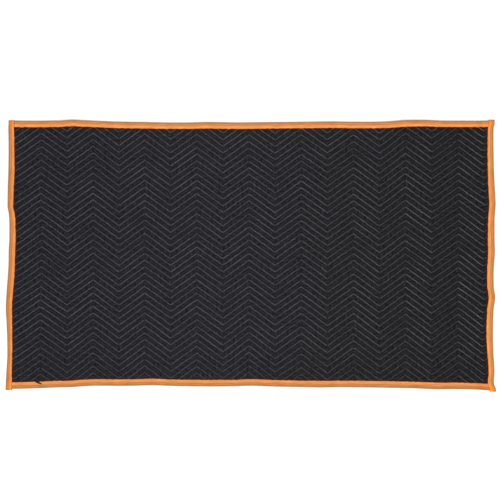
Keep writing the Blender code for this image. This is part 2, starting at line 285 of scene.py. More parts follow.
def takeUp(piece):
    deselectAll()
    piece.select_set(True)
    bpy.context.view_layer.objects.active = piece


def startEditing(piece):
    takeUp(piece)
    bpy.ops.object.mode_set(mode="EDIT")
    bpy.ops.mesh.select_all(action="SELECT")


def stopEditing():
    bpy.ops.object.mode_set(mode="OBJECT")


def faceOutwards(piece):
    startEditing(piece)
    bpy.ops.mesh.normals_make_consistent(inside=False)
    stopEditing()


def addGrid(name, across, down):
    # points run row by row, from the low corner
    deselectAll()
    bpy.ops.mesh.primitive_grid_add(x_subdivisions=across - 1, y_subdivisions=down - 1, size=2)
    piece = bpy.context.object
    piece.name = name
    piece.data.name = name
    return piece


def readPoints(piece):
    points = np.empty(len(piece.data.vertices) * 3)
    piece.data.vertices.foreach_get("co", points)
    return points.reshape(-1, 3)


def writePoints(piece, points):
    piece.data.vertices.foreach_set("co", np.asarray(points, float).ravel())
    piece.data.update()


def writeMap(piece, places):
    # a UV map from a place for each point
    corners = np.empty(len(piece.data.loops), int)
    piece.data.loops.foreach_get("vertex_index", corners)
    piece.data.uv_layers.active.data.foreach_set("uv", places[corners].ravel())


def writeValues(piece, label, values):
    piece.data.attributes.new(label, "FLOAT", "POINT").data.foreach_set("value", values)


def finishPiece(piece, material):
    piece.data.materials.clear()
    piece.data.materials.append(material)
    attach(piece, "root")


# finishes

def feed(tree, node, sockets):
    # a socket takes a plain value or the output that feeds it
    for socket, value in sockets.items():
        if isinstance(value, bpy.types.NodeSocket):
            tree.links.new(value, node.inputs[socket])
        else:
            node.inputs[socket].default_value = value


def addNode(tree, kind, place, sockets=None, **choices):
    node = tree.nodes.new("ShaderNode" + kind)
    node.location = place
    for choice, value in choices.items():
        setattr(node, choice, value)
    feed(tree, node, sockets or {})
    return node


def placeGroup(tree, group, place, sockets):
    node = tree.nodes.new("ShaderNodeGroup")
    node.node_tree = group
    node.location = place
    feed(tree, node, sockets)
    return node.outputs


def calculate(tree, place, operation, *values):
    return addNode(tree, "Math", place, dict(enumerate(values)), operation=operation).outputs[0]


def around(tree, place, noise, strength):
    # swings around 1 as the noise swings around its middle
    return calculate(tree, place, "MULTIPLY_ADD", noise, strength, 1 - strength / 2)


def readAttribute(tree, place, label):
    return addNode(tree, "Attribute", place, attribute_name=label).outputs["Fac"]


def splitAxes(tree, place, vector):
    return addNode(tree, "SeparateXYZ", place, {0: vector}).outputs


def mapRange(tree, place, value, low, high):
    # 0 at the low value, 1 at the high one
    return addNode(tree, "MapRange", place, {0: value, 1: low, 2: high}).outputs[0]


def mixColours(tree, place, share, first, second):
    return addNode(tree, "Mix", place, {0: share, 6: first, 7: second}, data_type="RGBA").outputs[2]


def shaded(tree, place, colour, amount):
    # a colour made darker or lighter by an amount around 1
    return addNode(tree, "VectorMath", place, {0: colour, "Scale": amount}, operation="SCALE").outputs[0]


def startGroup(name, inputs, outputs):
    group = bpy.data.node_groups.new(name, "ShaderNodeTree")
    for label, kind, value in inputs:
        socket = group.interface.new_socket(label, in_out="INPUT", socket_type="NodeSocket" + kind)
        if value is not None:
            socket.default_value = value
    for label, kind in outputs:
        group.interface.new_socket(label, in_out="OUTPUT", socket_type="NodeSocket" + kind)
    source = group.nodes.new("NodeGroupInput")
    source.location = (-900, 0)
    sink = group.nodes.new("NodeGroupOutput")
    sink.location = (700, 0)
    return group, source.outputs, sink.inputs


def makeWeaveGroup():
    # over and under threads, from a place in metres and the distance between threads
    group, given, wanted = startGroup(
        "overUnderWeave",
        [("Place", "Vector", None), ("Along", "Float", 0.0008), ("Across", "Float", 0.0008)],
        [("Height", "Float")],
    )
    parts = splitAxes(group, (-720, 0), given["Place"])
    swings = []
    for row, (axis, label) in enumerate((("X", "Along"), ("Y", "Across"))):
        turns = calculate(group, (-540, -200 * row), "DIVIDE", parts[axis], given[label])
        turns = calculate(group, (-360, -200 * row), "MULTIPLY", turns, math.pi)
        swings.append(calculate(group, (-180, -200 * row), "SINE", turns))
    over = calculate(group, (0, 100), "MULTIPLY", swings[0], swings[1])
    over = calculate(group, (160, 100), "GREATER_THAN", over, 0.0)
    rounds = [calculate(group, (0, -100 - 200 * row), "ABSOLUTE", swing) for row, swing in enumerate(swings)]
    mixed = addNode(group, "Mix", (340, 0), {0: over, 2: rounds[0], 3: rounds[1]})
    group.links.new(mixed.outputs[0], wanted["Height"])
    return group


def makeMottleGroup():
    # cloudy unevenness, coarse and fine, stretched along the first axis
    group, given, wanted = startGroup(
        "mottle",
        [("Place", "Vector", None), ("Stretch", "Float", 1.0), ("Size", "Float", 0.01)],
        [("Coarse", "Float"), ("Fine", "Float")],
    )
    scale = addNode(group, "CombineXYZ", (-720, -200), {0: given["Stretch"], 1: 1.0, 2: 1.0}).outputs[0]
    placed = addNode(group, "VectorMath", (-540, 0), {0: given["Place"], 1: scale}, operation="MULTIPLY")
    small = calculate(group, (-540, -200), "DIVIDE", 1.0, given["Size"])
    large = calculate(group, (-360, -200), "MULTIPLY", small, 0.22)
    for label, height, size, detail in (("Fine", 100, small, 4.0), ("Coarse", -200, large, 3.0)):
        noise = addNode(group, "TexNoise", (-180, height), {
            "Vector": placed.outputs[0], "Scale": size, "Detail": detail,
        })
        group.links.new(noise.outputs[0], wanted[label])
    return group


def makeFuzzGroup():
    # short fibres standing off the cloth
    group, given, wanted = startGroup(
        "fuzz",
        [("Place", "Vector", None), ("Size", "Float", 0.001)],
        [("Height", "Float")],
    )
    scale = calculate(group, (-540, -200), "DIVIDE", 1.0, given["Size"])
    noise = addNode(group, "TexNoise", (-300, 0), {
        "Vector": given["Place"], "Scale": scale, "Detail": 4.0, "Roughness": 0.7, "Distortion": 0.6,
    })
    group.links.new(noise.outputs[0], wanted["Height"])
    return group


weaveGroup = makeWeaveGroup()
mottleGroup = makeMottleGroup()
fuzzGroup = makeFuzzGroup()


def startMaterial(name, look):
    material = bpy.data.materials.new(name)
    material.use_nodes = True
    tree = material.node_tree
    shader = tree.nodes["Principled BSDF"]
    shader.inputs["Roughness"].default_value = look["roughness"]
    shader.inputs["Specular IOR Level"].default_value = look["specular"]
    shader.inputs["Sheen Weight"].default_value = look.get("sheen", 0.0)
    shader.inputs["Sheen Roughness"].default_value = 0.45
    return material, tree, shader


def addRelief(tree, shader, layers):
    # bumps laid one over another: a height, its depth in metres
    normal = None
    for row, (height, depth) in enumerate(layers):
        sockets = {"Height": height, "Distance": depth}
        if normal:
            sockets["Normal"] = normal
        normal = addNode(tree, "Bump", (-240, -300 - 200 * row), sockets).outputs[0]
    tree.links.new(normal, shader.inputs["Normal"])


clothLook = {
    # the cloth's colour along the pad, from its left end to its right one: lightest near the middle, bluish
    # at the left and darkest at the right
    "colours": (
        (0.06, 0.0187, 0.0180, 0.0226), (0.42, 0.0208, 0.0202, 0.0240), (0.92, 0.0171, 0.0168, 0.0181),
    ),
    # painted shadow, warmed by painted orange light thrown off the tape
    "paintedShadowColour": (0.0440, 0.0098, 0.0015, 1.0),
    "roughness": 0.92,
    "specular": 0.03,
    "sheen": 0.012,
    "weave": 0.0009,
    "weaveDepth": 0.0001,
    "fuzzSize": 0.0016,
    "fuzzDepth": 0.00025,
    "grainSize": 0.0044,
    "grainStretch": 0.5,
    "grain": 5.6,                # how strongly the brushed face varies from tuft to tuft
    "grainFloor": 0.30,          # the darkest that a tuft may be
    "cloud": 0.5,                # how strongly large patches vary
    # how light the cloth is from a sewn line to the middle of its channel: lighter beside the line, from the
    # thread's fibres and painted light, then painted shade on the channel's slope and painted light on its
    # crown
    "shades": ((0.00, 1.36), (0.12, 1.30), (0.21, 0.82), (0.30, 0.54), (0.42, 0.88), (0.50, 1.06)),
}


def fillRamp(ramp, rows):
    # a ramp's stops, from rows of a place and its grey or colour
    stops = ramp.color_ramp.elements
    while len(stops) < len(rows):
        stops.new(0.5)
    for stop, (position, *values) in zip(stops, rows):
        stop.position = position
        stop.color = (*(values * 3)[:3], 1.0)


def makeClothMaterial():
    look = clothLook
    material, tree, shader = startMaterial("quiltCloth", look)
    place = addNode(tree, "TexCoord", (-1700, 0)).outputs
    across = splitAxes(tree, (-1500, 500), place["Object"])[0]
    share = mapRange(tree, (-1300, 500), across, -halfLength, halfLength)
    padTone = addNode(tree, "ValToRGB", (-1100, 500), {0: share})
    fillRamp(padTone, look["colours"])
    # the map's second axis counts across the channels
    level = splitAxes(tree, (-1500, 250), place["UV"])[1]
    level = calculate(tree, (-1340, 250), "SUBTRACT", level, quilting["sewnY"])
    fromLine = calculate(tree, (-1180, 250), "PINGPONG", level, quilting["pitch"] / 2)
    fromLine = calculate(tree, (-1020, 250), "DIVIDE", fromLine, quilting["pitch"])
    ramp = addNode(tree, "ValToRGB", (-860, 250), {0: fromLine})
    fillRamp(ramp, look["shades"])
    mottle = placeGroup(tree, mottleGroup, (-1100, 0), {
        "Place": place["UV"], "Stretch": look["grainStretch"], "Size": look["grainSize"],
    })
    grain = around(tree, (-900, 0), mottle["Fine"], look["grain"])
    grain = calculate(tree, (-720, 0), "MAXIMUM", grain, look["grainFloor"])
    cloud = around(tree, (-900, -150), mottle["Coarse"], look["cloud"])
    amount = calculate(tree, (-560, 0), "MULTIPLY", grain, cloud)
    # painted shade and light across each channel, from the ramp
    amount = calculate(tree, (-400, 100), "MULTIPLY", amount, ramp.outputs[0])
    toneWithPaintedShade = shaded(tree, (-240, 300), padTone.outputs[0], amount)
    # painted shadow in the crevice beside each tape
    beside = readAttribute(tree, (-400, 500), "paintedShadowMask")
    toneWithPaintedShade = mixColours(tree, (-80, 300), beside, toneWithPaintedShade, look["paintedShadowColour"])
    tree.links.new(toneWithPaintedShade, shader.inputs["Base Color"])
    weave = placeGroup(tree, weaveGroup, (-600, -300), {
        "Place": place["UV"], "Along": look["weave"], "Across": look["weave"],
    })
    fuzz = placeGroup(tree, fuzzGroup, (-600, -500), {"Place": place["Object"], "Size": look["fuzzSize"]})
    addRelief(tree, shader, [(weave["Height"], look["weaveDepth"]), (fuzz["Height"], look["fuzzDepth"])])
    return material


tapeLook = {
    "colour": (0.745, 0.270, 0.080, 1.0),
    "ochreColour": (0.70, 0.280, 0.058, 1.0),
    "ochreRange": (0.50, 0.66),  # of the coarse mottle, over which the colour turns to ochre
    "doubledColour": (0.90, 0.250, 0.022, 1.0),
    "roughness": 0.78,
    "specular": 0.25,
    "sheen": 0.05,
    "streaks": 0.9,              # how strongly long streaks lighten or darken it
    "streakStretch": 0.12,
    "streakSize": 0.0048,
    "rib": 0.0009,
    "ribDepth": 0.00012,
    "fuzzSize": 0.0012,
    "fuzzDepth": 0.00006,
    # how light the tape is at each share of its width, from the fold inwards: painted shade on the rounded
    # fold and painted shadow at the inner edge, darker along the sewing line and lighter between
    "shades": (
        (0.00, 0.70, 0.76, 0.80), (0.10, 0.58, 0.68, 0.72), (0.22, 0.60, 0.69, 0.72),
        (0.39, 0.87, 0.88, 0.90), (0.45, 0.64, 0.42, 0.28), (0.50, 0.97, 0.96, 0.95),
        (0.76, 1.04, 1.04, 1.04), (0.90, 1.08, 1.08, 1.10), (0.95, 0.86, 0.72, 0.64),
        (1.00, 0.40, 0.20, 0.10),
    ),
}


def makeTapeMaterial():
    look = tapeLook
    material, tree, shader = startMaterial("bindingTape", look)
    place = addNode(tree, "TexCoord", (-1700, 0)).outputs
    inset = splitAxes(tree, (-1500, 200), place["UV"])[1]
    ramp = addNode(tree, "ValToRGB", (-1100, 200), {0: mapRange(tree, (-1300, 200), inset, 0.0, tapeReach)})
    fillRamp(ramp, look["shades"])
    mottle = placeGroup(tree, mottleGroup, (-1300, -100), {
        "Place": place["UV"], "Stretch": look["streakStretch"], "Size": look["streakSize"],
    })
    ochre = mapRange(tree, (-1100, 700), mottle["Coarse"], *look["ochreRange"])
    colour = mixColours(tree, (-900, 700), ochre, look["colour"], look["ochreColour"])
    doubled = readAttribute(tree, (-900, 500), "doubled")
    colour = mixColours(tree, (-720, 600), doubled, colour, look["doubledColour"])
    # painted shade in bands across the tape's width
    banded = addNode(tree, "VectorMath", (-540, 400), {0: colour, 1: ramp.outputs[0]}, operation="MULTIPLY")
    grain = around(tree, (-900, 0), mottle["Fine"], look["streaks"])
    # each tape's lightness, with painted highlight and shade at its ends
    amount = calculate(tree, (-540, 100), "MULTIPLY", grain, readAttribute(tree, (-900, -300), "toneAndPaintedLight"))
    tree.links.new(shaded(tree, (-360, 200), banded.outputs[0], amount), shader.inputs["Base Color"])
    weave = placeGroup(tree, weaveGroup, (-600, -400), {
        "Place": place["UV"], "Along": look["rib"], "Across": look["rib"] * 2,
    })
    fuzz = placeGroup(tree, fuzzGroup, (-600, -600), {"Place": place["Object"], "Size": look["fuzzSize"]})
    addRelief(tree, shader, [(weave["Height"], look["ribDepth"]), (fuzz["Height"], look["fuzzDepth"])])
    return material


threadLook = {
    "grey": (0.144, 0.146, 0.156),
    "orange": (0.52, 0.15, 0.038),
    "roughness": 0.6,
    "specular": 0.3,
    "fuzzSize": 0.0004,
    "fuzzDepth": 0.00008,
}


def makeThreadMaterial(name, colour):
    look = threadLook
    material, tree, shader = startMaterial(name, look)
    shade = readAttribute(tree, (-700, 200), "shade")
    tree.links.new(shaded(tree, (-360, 200), colour, shade), shader.inputs["Base Color"])
    place = addNode(tree, "TexCoord", (-900, -200)).outputs
    fuzz = placeGroup(tree, fuzzGroup, (-600, -200), {"Place": place["Object"], "Size": look["fuzzSize"]})
    addRelief(tree, shader, [(fuzz["Height"], look["fuzzDepth"])])
    return material


clothMaterial = makeClothMaterial()
tapeMaterial = makeTapeMaterial()
greyThread = makeThreadMaterial("greyThread", threadLook["grey"])
orangeThread = makeThreadMaterial("orangeThread", threadLook["orange"])
print("finishes made")

# the quilted panel: an upper and an under sheet, bridged at the cut edge inside the tapes

panel = {
    # rows of a channel, as shares of the pitch
    "upperShares": (0.0, 0.05, 0.16, 0.32, 0.50, 0.68, 0.84, 0.95),
    "upperColumns": 12,            # for each run of the zigzag
    "underShares": (0.0, 0.12, 0.30, 0.70, 0.88),
    "underColumns": 5,
    "upperPower": 2.2,             # how round a channel's crown is
    "upperCrown": 0.0026,          # height of a crown over its sewn lines
    "underCrown": 0.0016,
    "underSlope": 0.4,             # share of half a channel over which its under side slopes
    # how the crowns vary: the share, the change from channel to channel, the length and a seed
    "uneven": ((0.10, 0.11, 0.16, 11), (0.05, 0.09, 0.04, 12)),
    "puckers": (0.16, 0.31, 0.022, 13),
    "edgeRise": 0.010,             # how far from a tape the quilting is still pressed down
    "edgeCuts": (0.0, 0.0025, 0.006),
    "creviceStart": 0.0012,        # painted shadow in the crevice beside a tape, from the tape's inner edge
    "crevice": 0.0065,
    "fill": 0.3,
}
swelling = {
    "frames": 20,
    "startShare": 0.6,             # of the crown's height, before the filling swells it
    "restShare": 1.15,             # of the crown's height, at which the cloth would be slack
    "heldUnder": 0.004,            # the cloth is held from here in under the tapes
    "capUp": 0.0009,               # how far a point may end over or under its plain crown
    "capSide": 0.0004,
    "cloth": {
        "quality": 5,
        "mass": 0.15,
        "tension_stiffness": 12.0,
        "compression_stiffness": 12.0,
        "shear_stiffness": 4.0,
        "bending_stiffness": 3.0,
        "air_damping": 5,
        "use_pressure": True,
        "uniform_pressure_force": 60.0,
        "shrink_min": -0.004,      # the cloth is this much too long for its channel, so it puckers
    },
}


def pressed(x, y, height):
    # the tapes press the quilting down along its rim
    rise = smoothStep((insetOf(x, y) - tapeReach) / panel["edgeRise"])
    return pad["boundHalf"] + (height - pad["boundHalf"]) * rise


def quiltSheet(name, shares, columnsPerRun):
    pitch = quilting["pitch"]
    step = quilting["zigRun"] / columnsPerRun
    cutX = halfLength - pad["cutInset"]
    cutY = halfWidth - pad["cutInset"]
    # one more column and channel on every side, because the sewn lines drift
    firstColumn = math.floor((-cutX - quilting["peakX"]) / step) - 1
    lastColumn = math.ceil((cutX - quilting["peakX"]) / step) + 1
    firstChannel = math.floor((-cutY - quilting["sewnY"]) / pitch)
    lastChannel = math.ceil((cutY + quilting["zigRise"] - quilting["sewnY"]) / pitch) + 1
    across = lastColumn - firstColumn + 1
    down = (lastChannel - firstChannel) * len(shares) + 1
    sheet = addGrid(name, across, down)
    column = np.tile(np.arange(across), down)
    row = np.repeat(np.arange(down), across)
    share = np.array(shares)[row % len(shares)]
    channel = firstChannel + row // len(shares)
    x = quilting["peakX"] + (firstColumn + column) * step
    level = quilting["sewnY"] + (channel + share) * pitch
    writeMap(sheet, np.stack([x, level], 1))
    x, y = sewnPoint(x, level)
    return sheet, x, y, share, channel


def cutAt(sheet, inset, clear):
    # cut the sheet all round at a distance from the folds
    startEditing(sheet)
    for axis, half in ((0, halfLength), (1, halfWidth)):
        for end in (-1, 1):
            normal = [end * (axis == 0), end * (axis == 1), 0]
            place = [(half - inset) * part for part in normal]
            bpy.ops.mesh.select_all(action="SELECT")
            bpy.ops.mesh.bisect(plane_co=place, plane_no=normal, clear_outer=clear, threshold=1e-6)
    stopEditing()


def swell(sheet, points, crown, share):
    # the filling swells the cloth between its sewn lines, and the cloth puckers along them
    low = points.copy()
    low[:, 2] += (swelling["startShare"] - 1) * crown
    writePoints(sheet, low)
    sheet.shape_key_add(name="Basis")
    slack = sheet.shape_key_add(name="slack")
    wide = points.copy()
    wide[:, 2] += (swelling["restShare"] - 1) * crown
    slack.data.foreach_set("co", wide.ravel())
    still = (share == 0) | (insetOf(points[:, 0], points[:, 1]) < tapeReach - swelling["heldUnder"])
    held = sheet.vertex_groups.new(name="sewn")
    held.add([int(point) for point in np.nonzero(still)[0]], 1.0, "REPLACE")
    takeUp(sheet)
    bpy.ops.object.modifier_add(type="CLOTH")
    cloth = sheet.modifiers[-1]
    cloth.name = "swelling"
    cloth.collision_settings.use_collision = False
    cloth.point_cache.frame_start = 1
    cloth.point_cache.frame_end = swelling["frames"]
    rule = cloth.settings
    rule.vertex_group_mass = "sewn"
    rule.rest_shape_key = slack
    for label, value in swelling["cloth"].items():
        setattr(rule, label, value)
    rule.effector_weights.gravity = 0
    for step in range(swelling["frames"]):
        bpy.context.scene.frame_set(step + 1)
    bpy.ops.object.modifier_apply_as_shapekey(modifier=cloth.name)
    swollen = np.empty(points.size)
    sheet.data.shape_keys.key_blocks[-1].data.foreach_get("co", swollen)
    sheet.shape_key_clear()
    sheet.vertex_groups.clear()
    bpy.context.scene.frame_set(1)
    moved = swollen.reshape(-1, 3) - points
    moved[:, :2] = np.clip(moved[:, :2], -swelling["capSide"], swelling["capSide"])
    moved[:, 2] = np.clip(moved[:, 2], -swelling["capUp"], swelling["capUp"])
    moved[still] = 0.0
    print("cloth swollen: crowns moved by", (np.std(moved[share == 0.5, 2]) / mm).round(2), "mm")
    writePoints(sheet, points + moved)


def makeUpperSheet():
    sheet, x, y, share, channel = quiltSheet("quilted_pad_panel", panel["upperShares"], panel["upperColumns"])
    crown = 1 - np.abs(2 * share - 1) ** panel["upperPower"]
    uneven = 1
    for size, change, length, seed in panel["uneven"]:
        uneven = uneven + size * waves(x, channel * change, length, seed)
    crown = panel["upperCrown"] * crown * uneven
    points = np.stack([x, y, pad["grooveHalf"] + crown], 1)
    swell(sheet, points, crown, share)
    return sheet


def makeUnderSheet():
    sheet, x, y, share, channel = quiltSheet("under_sheet", panel["underShares"], panel["underColumns"])
    flat = np.clip(1 - np.abs(2 * share - 1), 0, panel["underSlope"]) / panel["underSlope"]
    height = pad["grooveHalf"] + panel["underCrown"] * np.sin(flat * math.pi / 2)
    writePoints(sheet, np.stack([x, y, -height], 1))
    return sheet


def bridgeRims(sheet):
    # close the panel between its two rims, one side of the rectangle after another
    for axis, half in ((0, halfLength), (1, halfWidth)):
        for end in (-1, 1):
            startEditing(sheet)
            bpy.ops.mesh.select_mode(type="EDGE")
            bpy.ops.mesh.select_all(action="DESELECT")
            stopEditing()
            points = readPoints(sheet)
            onRim = np.abs(points[:, axis] - end * (half - pad["cutInset"])) < 2e-6
            ends = np.empty(len(sheet.data.edges) * 2, int)
            sheet.data.edges.foreach_get("vertices", ends)
            ends = ends.reshape(-1, 2)
            chosen = onRim[ends[:, 0]] & onRim[ends[:, 1]]
            chosen &= np.abs(points[ends[:, 0], 2] - points[ends[:, 1], 2]) < 0.5 * mm
            sheet.data.edges.foreach_set("select", chosen)
            bpy.ops.object.mode_set(mode="EDIT")
            bpy.ops.mesh.bridge_edge_loops()
            stopEditing()


def makePanel():
    upper = makeUpperSheet()
    under = makeUnderSheet()
    for cut in panel["edgeCuts"]:
        cutAt(upper, tapeReach + cut, False)
    for sheet, side in ((upper, 1), (under, -1)):
        cutAt(sheet, pad["cutInset"], True)
        points = readPoints(sheet)
        points[:, 2] = side * pressed(points[:, 0], points[:, 1], side * points[:, 2])
        writePoints(sheet, points)
    takeUp(upper)
    under.select_set(True)
    bpy.ops.object.join()
    bridgeRims(upper)
    points = readPoints(upper)
    # where the painted shadow lies, in the crevice beside each tape
    fromTape = insetOf(points[:, 0], points[:, 1]) - tapeReach - panel["creviceStart"]
    writeValues(upper, "paintedShadowMask", 1 - smoothStep(fromTape / panel["crevice"]))
    writePoints(upper, restPoints(points))
    faceOutwards(upper)
    bpy.ops.object.shade_smooth()
    finishPiece(upper, clothMaterial)
    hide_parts("quilted_panel")
    return upper


quiltedPanel = makePanel()
print("panel made:", len(quiltedPanel.data.polygons), "faces")

# stitches: one is modelled, and Geometry Nodes lays a copy at every place

stitches = {
    "runStitches": 16,          # quilting stitches in each run of the zigzag
    "gap": 0.0006,
    "thick": (0.0012, 0.0008),  # the thread's width and height
    "proud": 0.0003,            # how far a stitch's middle stands over the groove
    "runUnder": 0.002,          # how far the lines run in under the tapes
    # painted highlight: how much lighter the threads on one slope are painted than on the other, in the pad's
    # middle, then towards its ends
    "paintedSlopeHighlight": (0.02, 0.30, 0.26),
    "patchShine": 0.42,         # how much it varies from patch to patch
    "patchSize": 0.15,
    "runShine": 0.22,           # from run to run
    "ownShine": 0.15,           # and from stitch to stitch
    "darkening": 0.5,                # how much the threads beside the bottom tape are darkened
    "darkeningReach": 0.15,
}


def makeStitch():
    # a spindle of four sides that lies along X, one unit long, wide and high
    deselectAll()
    bpy.ops.mesh.primitive_uv_sphere_add(segments=4, ring_count=3, radius=0.5)
    stitch = bpy.context.object
    stitch.name = "stitch"
    startEditing(stitch)
    bpy.ops.transform.rotate(value=math.pi / 2, orient_axis="Y", center_override=(0, 0, 0))
    stopEditing()
    points = readPoints(stitch)
    body = np.abs(points[:, 0]) <= 0.45
    points[body] *= (1.45, 1.15, 1.15)
    writePoints(stitch, points)
    bpy.ops.object.shade_smooth()
    return stitch


def makeScatter():
    # a node tree that lays the stitch at each point by the point's own turn and size
    tree = bpy.data.node_groups.new("scatterStitches", "GeometryNodeTree")
    tree.interface.new_socket("Geometry", in_out="INPUT", socket_type="NodeSocketGeometry")
    tree.interface.new_socket("Geometry", in_out="OUTPUT", socket_type="NodeSocketGeometry")
    source = tree.nodes.new("NodeGroupInput")
    sink = tree.nodes.new("NodeGroupOutput")
    model = tree.nodes.new("GeometryNodeObjectInfo")
    model.inputs["Object"].default_value = stitch
    lay = tree.nodes.new("GeometryNodeInstanceOnPoints")
    real = tree.nodes.new("GeometryNodeRealizeInstances")
    tree.links.new(source.outputs[0], lay.inputs["Points"])
    tree.links.new(model.outputs["Geometry"], lay.inputs["Instance"])
    for label, socket in (("turn", "Rotation"), ("size", "Scale")):
        named = tree.nodes.new("GeometryNodeInputNamedAttribute")
        named.data_type = "FLOAT_VECTOR"
        named.inputs["Name"].default_value = label
        tree.links.new(named.outputs["Attribute"], lay.inputs[socket])
    tree.links.new(lay.outputs[0], real.inputs[0])
    tree.links.new(real.outputs[0], sink.inputs[0])
    return tree


def layStitches(name, starts, stops, thick, shades, material):
    # a stitch between each start and its stop, all joined in one mesh
    middles = (starts + stops) / 2
    spans = stops - starts
    lengths = np.linalg.norm(spans, axis=1)
    turns = np.zeros_like(spans)
    turns[:, 1] = -np.arcsin(spans[:, 2] / lengths)
    turns[:, 2] = np.arctan2(spans[:, 1], spans[:, 0])
    sizes = np.column_stack([lengths, np.tile(thick, (len(lengths), 1))])
    mesh = bpy.data.meshes.new(name)
    mesh.from_pydata(middles.tolist(), [], [])
    piece = bpy.data.objects.new(name, mesh)
    bpy.context.scene.collection.objects.link(piece)
    for label, values in (("turn", turns), ("size", sizes)):
        mesh.attributes.new(label, "FLOAT_VECTOR", "POINT").data.foreach_set("vector", values.ravel())
    writeValues(piece, "shade", shades)
    scatter = piece.modifiers.new("scatter", "NODES")
    scatter.node_group = scatterTree
    takeUp(piece)
    bpy.ops.object.modifier_apply(modifier=scatter.name)
    for label in ("turn", "size"):
        if label in piece.data.attributes:
            piece.data.attributes.remove(piece.data.attributes[label])
    finishPiece(piece, material)
    return piece


stitch = makeStitch()
scatterTree = makeScatter()


def threadShine(x, endY):
    # threads on one slope are painted lighter than on the other, a painted highlight that changes over from
    # left to right
    run = np.floor((x - quilting["peakX"]) / quilting["zigRun"]).astype(int)
    slope = np.where(run % 2 == 0, -1.0, 1.0)
    middle, onward, bend = stitches["paintedSlopeHighlight"]
    place = x / halfLength
    shine = 1 - slope * (middle + onward * place + bend * place**2)
    shine = shine * (1 + stitches["patchShine"] * waves(x + 0.2 * slope, endY, stitches["patchSize"], 91))
    shine = shine * (1 + stitches["runShine"] * dice.uniform(-1, 1, 64)[run % 64])
    # the lowest stitches are darker
    farFromBottom = smoothStep((halfWidth + endY - tapeReach) / stitches["darkeningReach"])
    shine = shine * (1 - stitches["darkening"] * (1 - farFromBottom))
    return shine * (1 + stitches["ownShine"] * dice.uniform(-1, 1, len(x)))


def makeQuilting(name, side):
    pitch = quilting["pitch"]
    step = quilting["zigRun"] / stitches["runStitches"]
    half = (step - stitches["gap"]) / 2
    starts = []
    stops = []
    shades = []
    firstLine = math.ceil((-halfWidth - quilting["sewnY"]) / pitch)
    lastLine = math.floor((halfWidth + quilting["zigRise"] - quilting["sewnY"]) / pitch)
    for line in range(firstLine, lastLine + 1):
        lineLevel = quilting["sewnY"] + line * pitch
        x = np.arange(-halfLength, halfLength, step) + dice.uniform(0, step)
        x = x[insetOf(*sewnPoint(x, lineLevel)) > tapeReach - stitches["runUnder"]]
        for end, found in ((-1, starts), (1, stops)):
            endX, endY = sewnPoint(x + end * half, lineLevel)
            level = pressed(endX, endY, np.full(len(endX), pad["grooveHalf"])) + stitches["proud"]
            found.append(restPoints(np.stack([endX, endY, side * level], 1)))
        shades.append(threadShine(x, endY))
    return layStitches(name, np.concatenate(starts), np.concatenate(stops), stitches["thick"],
                       np.concatenate(shades), greyThread)


upperThread = makeQuilting("quilting_thread_upper", 1)
makeQuilting("quilting_thread_under", -1)
print("quilting sewn:", len(upperThread.data.polygons), "faces on the upper face")

# the tapes: each is a strip folded over an edge, a thin closed U in section

tape = {
    "stationStep": 0.003,
    "foldRound": 0.0075,       # from the fold's tip to where the tape lies flat
    "foldPower": 2.2,
    "foldThick": 0.0013,
    "sewLine": 0.0115,         # the sewing, from the fold, and the dip that it pulls
    "sewDip": 0.0004,
    "sewHalf": 0.0030,
    "edgeLift": 0.0003,        # the inner edge stands up a little
    "liftReach": 0.004,
    "edgeDrop": 0.0005,        # and is rounded off
    "dropReach": 0.0004,
    "outerInsets": (1.0, 0.992, 0.965, 0.90, 0.80, 0.70, 0.615, 0.56, 0.51, 0.46, 0.41, 0.34, 0.265, 0.20,
                    0.14, 0.085, 0.04, 0.012),
    "underInsets": (0.012, 0.05, 0.12, 0.22, 0.34, 0.51, 0.70, 0.90, 0.98, 1.0),
    "endStand": 0.0030,        # how far a side tape stands past the long tapes
    "endPinch": 0.6,           # how much thinner its end is, and from how far in
    "pinchBack": 0.004,
    "pullFrom": 0.026,         # its uneven end starts this far in
    "pullRamp": 0.014,
    "endRamp": 0.0065,
    "endLap": 0.0015,
    "lapGlow": 0.25,           # how orange it is over a long tape
    "ringShade": 0.22,         # how dark its very end is, painted shade on the rounded end
    "ringReach": 0.0045,
    "longInset": 0.0034,       # where a long tape ends, inside the side tape's fold
    "wavyFrom": 0.6,           # share of the width from which it waves, up and down and in and out
    "edgeRipple": 0.00022,
    "rippleLength": 0.03,
    "edgeWave": 0.0006,
    "waveLength": 0.026,
    "stitchPitch": 0.0042,
    "stitchGap": 0.0012,
    "stitchThick": (0.0008, 0.0006),
    "stitchProud": 0.00015,
    "sewnShort": 0.004,        # how far before a side tape's end its sewing stops
    "sewWander": 0.0005,
    "wanderLength": 0.12,
}


def tapeSkin(inset, room):
    # height of the tape's outer face over the middle plane
    skin = room + pad["tapeThick"]
    share = np.clip(inset / tape["foldRound"], 0, 1)
    level = skin * (1 - (1 - share) ** tape["foldPower"]) ** (1 / tape["foldPower"])
    level = level - tape["sewDip"] * np.exp(-(((inset - tape["sewLine"]) / tape["sewHalf"]) ** 2))
    fromEdge = tapeReach - inset
    level = level + tape["edgeLift"] * np.exp(-((fromEdge / tape["liftReach"]) ** 2))
    return level - tape["edgeDrop"] * np.exp(-((fromEdge / tape["dropReach"]) ** 2))


def endPinch(along, isSide):
    # a side tape's end is sewn together where it stands past the long tape, so it thins out there
    pinchFrom = halfWidth - tape["pinchBack"]
    share = smoothStep((np.abs(along) - pinchFrom) / (tape["endStand"] + tape["pinchBack"]))
    return 1 - tape["endPinch"] * share * isSide


def endRaise(along, isSide):
    # 0 along the tape, 1 where a side tape's end lies over a long tape
    if not isSide:
        return np.zeros_like(along)
    raised = halfWidth - tapeReach - tape["endLap"]
    return smoothStep((np.abs(along) - raised + tape["endRamp"]) / tape["endRamp"])


